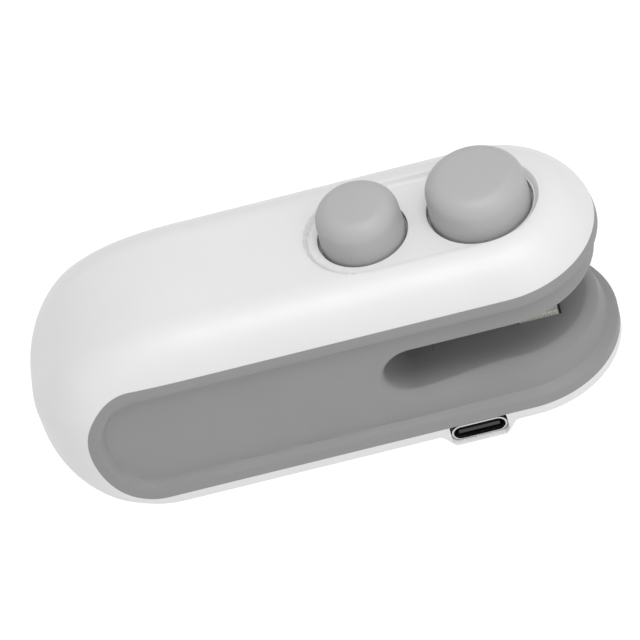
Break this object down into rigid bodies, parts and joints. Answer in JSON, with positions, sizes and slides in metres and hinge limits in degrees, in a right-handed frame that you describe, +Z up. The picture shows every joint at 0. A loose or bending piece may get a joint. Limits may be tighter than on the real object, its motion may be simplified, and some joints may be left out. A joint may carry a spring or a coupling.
{
  "type": "handheld bag sealer",
  "caption": "Palm-sized rechargeable bag sealer: a side mouth with a hot strip under a press head and a small blade, each worked by a push button.",
  "frame": {"origin": "bottom centre of the whole sealer, on the plane of the socket pod's underside", "axes": "+X toward the mouth end, -Y the side with the charging socket, +Z up through the buttons"},
  "size_m": [0.093, 0.0332, 0.0416],
  "materials": {
    "white_shell": "satin white moulded shell",
    "gray_frame": "matt mid gray moulded frame",
    "button_gray": "matt light gray button cap",
    "silicone": "soft silicone",
    "mat_gray": "gray rubber insert",
    "inner_plastic": "plain moulded plastic",
    "blade_steel": "ground blade steel",
    "steel": "plated steel",
    "glass_cloth": "woven glass cloth over the heater",
    "black_plastic": "black moulded plastic",
    "board_green": "solder mask",
    "lamp_clear": "clear lamp",
    "cell_wrap": "shrink wrapped cell",
    "wire_red": "red insulation",
    "wire_black": "black insulation"
  },
  "bodies": {
    "housing": {"battery_cell": "cell_wrap", "battery_cradle": "inner_plastic", "buffer_capacitor": "black_plastic", "cell_tab_front": "steel", "cell_tab_rear": "steel", "charge_chip": "black_plastic", "charge_lamp": "lamp_clear", "control_board": "board_green", "cut_spring": "steel", "cutting_mat": "mat_gray", "heater_base": "black_plastic", "heater_clip_1": "black_plastic", "heater_clip_2": "black_plastic", "heater_cloth": "glass_cloth", "heater_lead_1": "wire_red", "heater_lead_2": "wire_black", "heater_strip": "steel", "housing_screw_1": "steel", "housing_screw_2": "steel", "housing_screw_3": "steel", "housing_screw_4": "steel", "lead_negative": "wire_black", "lead_positive": "wire_red", "lower_shell": "white_shell", "mid_frame": "gray_frame", "power_coil": "black_plastic", "seal_spring": "steel", "seal_switch": "black_plastic", "timer_chip": "black_plastic", "upper_shell": "white_shell", "usb_shell": "steel", "usb_tongue": "black_plastic"},
    "seal_head": {"seal_button": "button_gray", "seal_plunger": "inner_plastic", "press_pad": "silicone"},
    "cutter": {"cut_button": "button_gray", "blade_carrier": "inner_plastic", "cutter_blade": "blade_steel", "blade_pin": "steel"}
  },
  "joints": [
    {"name": "seal_press", "type": "slide", "parent": "housing", "child": "seal_head", "axis": [0, 0, -1], "range_m": [0, 0.0044], "stiffness_N_per_m": 600, "deforming": ["seal_spring"]},
    {"name": "cut_press", "type": "slide", "parent": "housing", "child": "cutter", "axis": [0, 0, -1], "range_m": [0, 0.006], "stiffness_N_per_m": 400, "deforming": ["cut_spring"]}
  ]
}
